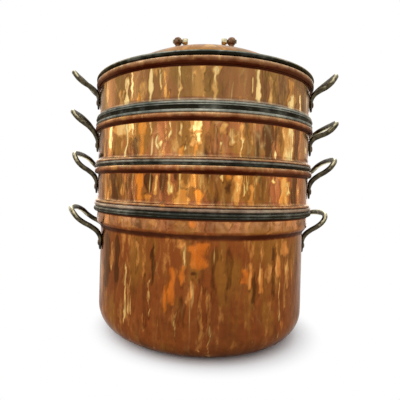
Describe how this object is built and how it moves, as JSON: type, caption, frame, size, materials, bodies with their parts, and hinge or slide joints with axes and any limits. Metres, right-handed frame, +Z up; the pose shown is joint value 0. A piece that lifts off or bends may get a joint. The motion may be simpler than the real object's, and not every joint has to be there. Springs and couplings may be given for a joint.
{
  "type": "couscous steamer",
  "caption": "Hammered copper couscous steamer: a deep round pot, stacked pierced steamers with brass loop handles, and a domed lid with a folding bail.",
  "frame": {"origin": "centre of the pot's flat base, on the surface that it stands on", "axes": "+Z up along the axis of the stack, X through the pairs of handles, -Y towards the front"},
  "size_m": [0.4838, 0.38, 0.5196],
  "materials": {
    "copper": "hammered copper, worn polish",
    "pot_copper": "hammered copper, browned by the fire",
    "rivet_copper": "dull copper",
    "tinned_copper": "old grey tinning",
    "brass": "cast brass, rubbed on the bends and dark elsewhere",
    "iron": "black hoop iron"
  },
  "bodies": {
    "pot": {"pot_shell": "pot_copper", "pot_rim_hoop": "iron", "pot_handle_left": "brass", "pot_handle_right": "brass", "pot_rivet_left_front": "rivet_copper", "pot_rivet_left_back": "rivet_copper", "pot_rivet_right_front": "rivet_copper", "pot_rivet_right_back": "rivet_copper"},
    "steamer_1": {"steamer_1_wall": "copper", "steamer_1_rim_hoop": "iron", "steamer_1_handle_left": "brass", "steamer_1_handle_right": "brass", "steamer_1_rivet_left_front": "rivet_copper", "steamer_1_rivet_left_back": "rivet_copper", "steamer_1_rivet_right_front": "rivet_copper", "steamer_1_rivet_right_back": "rivet_copper", "steamer_1_foot_ring": "copper", "steamer_1_sieve": "tinned_copper"},
    "steamer_2": {"steamer_2_wall": "copper", "steamer_2_rim_hoop": "iron", "steamer_2_handle_left": "brass", "steamer_2_handle_right": "brass", "steamer_2_rivet_left_front": "rivet_copper", "steamer_2_rivet_left_back": "rivet_copper", "steamer_2_rivet_right_front": "rivet_copper", "steamer_2_rivet_right_back": "rivet_copper", "steamer_2_foot_ring": "tinned_copper", "steamer_2_sieve": "tinned_copper"},
    "steamer_3": {"steamer_3_wall": "copper", "steamer_3_rim_hoop": "iron", "steamer_3_handle_left": "brass", "steamer_3_handle_right": "brass", "steamer_3_rivet_left_front": "rivet_copper", "steamer_3_rivet_left_back": "rivet_copper", "steamer_3_rivet_right_front": "rivet_copper", "steamer_3_rivet_right_back": "rivet_copper", "steamer_3_foot_ring": "tinned_copper", "steamer_3_sieve": "tinned_copper"},
    "lid": {"lid_dome": "copper", "lid_rim_hoop": "iron", "lid_spigot": "tinned_copper", "lid_post_left": "copper", "lid_post_right": "copper"},
    "bail": {"bail": "brass"}
  },
  "joints": [
    {"name": "steamer_1_lift", "type": "slide", "parent": "pot", "child": "steamer_1", "axis": [0, 0, 1], "range_m": [0, 0.12]},
    {"name": "steamer_2_lift", "type": "slide", "parent": "steamer_1", "child": "steamer_2", "axis": [0, 0, 1], "range_m": [0, 0.12]},
    {"name": "steamer_3_lift", "type": "slide", "parent": "steamer_2", "child": "steamer_3", "axis": [0, 0, 1], "range_m": [0, 0.12]},
    {"name": "lid_lift", "type": "slide", "parent": "steamer_3", "child": "lid", "axis": [0, 0, 1], "range_m": [0, 0.12]},
    {"name": "bail_swing", "type": "hinge", "parent": "lid", "child": "bail", "pos_m": [0, 0, 0.51157], "axis": [1, 0, 0], "range_deg": [0, 230.6]}
  ]
}
